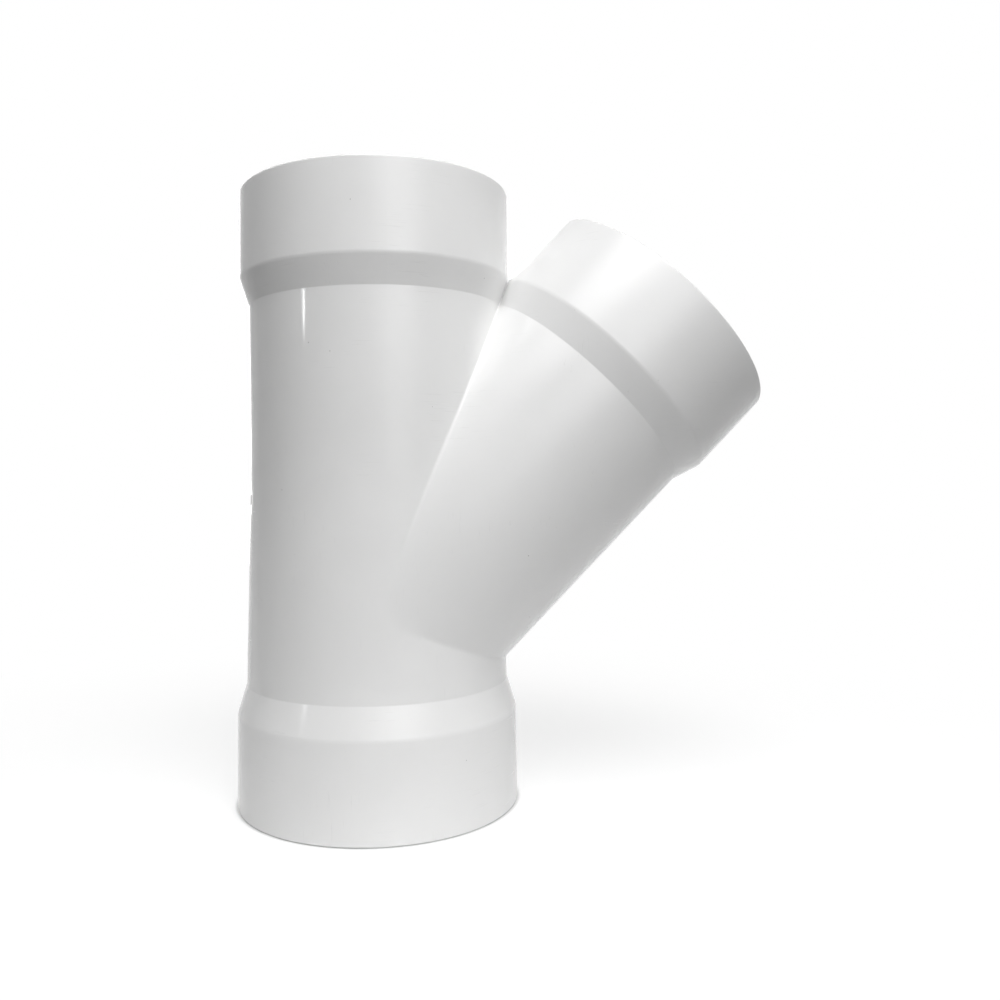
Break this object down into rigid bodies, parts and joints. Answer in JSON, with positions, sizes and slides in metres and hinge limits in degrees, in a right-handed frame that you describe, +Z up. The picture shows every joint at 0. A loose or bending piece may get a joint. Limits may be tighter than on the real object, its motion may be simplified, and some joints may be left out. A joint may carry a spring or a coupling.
{
  "type": "lateral wye fitting",
  "caption": "Rigid plastic drain-pipe wye: a straight run with a socket hub at each end and a branch socket leaving it at 45 degrees.",
  "frame": {"origin": "centre of the lower socket's mouth, on the plane of the lower rim that the fitting stands on", "axes": "+Z up the run's axis, out of the upper socket; +X towards the side that the branch climbs to; both legs' axes lie in the XZ plane"},
  "size_m": [0.2442, 0.1272, 0.2791],
  "materials": {
    "pvc": "smooth moulded gloss"
  },
  "bodies": {
    "root": {"wye_body": "pvc"}
  },
  "joints": []
}
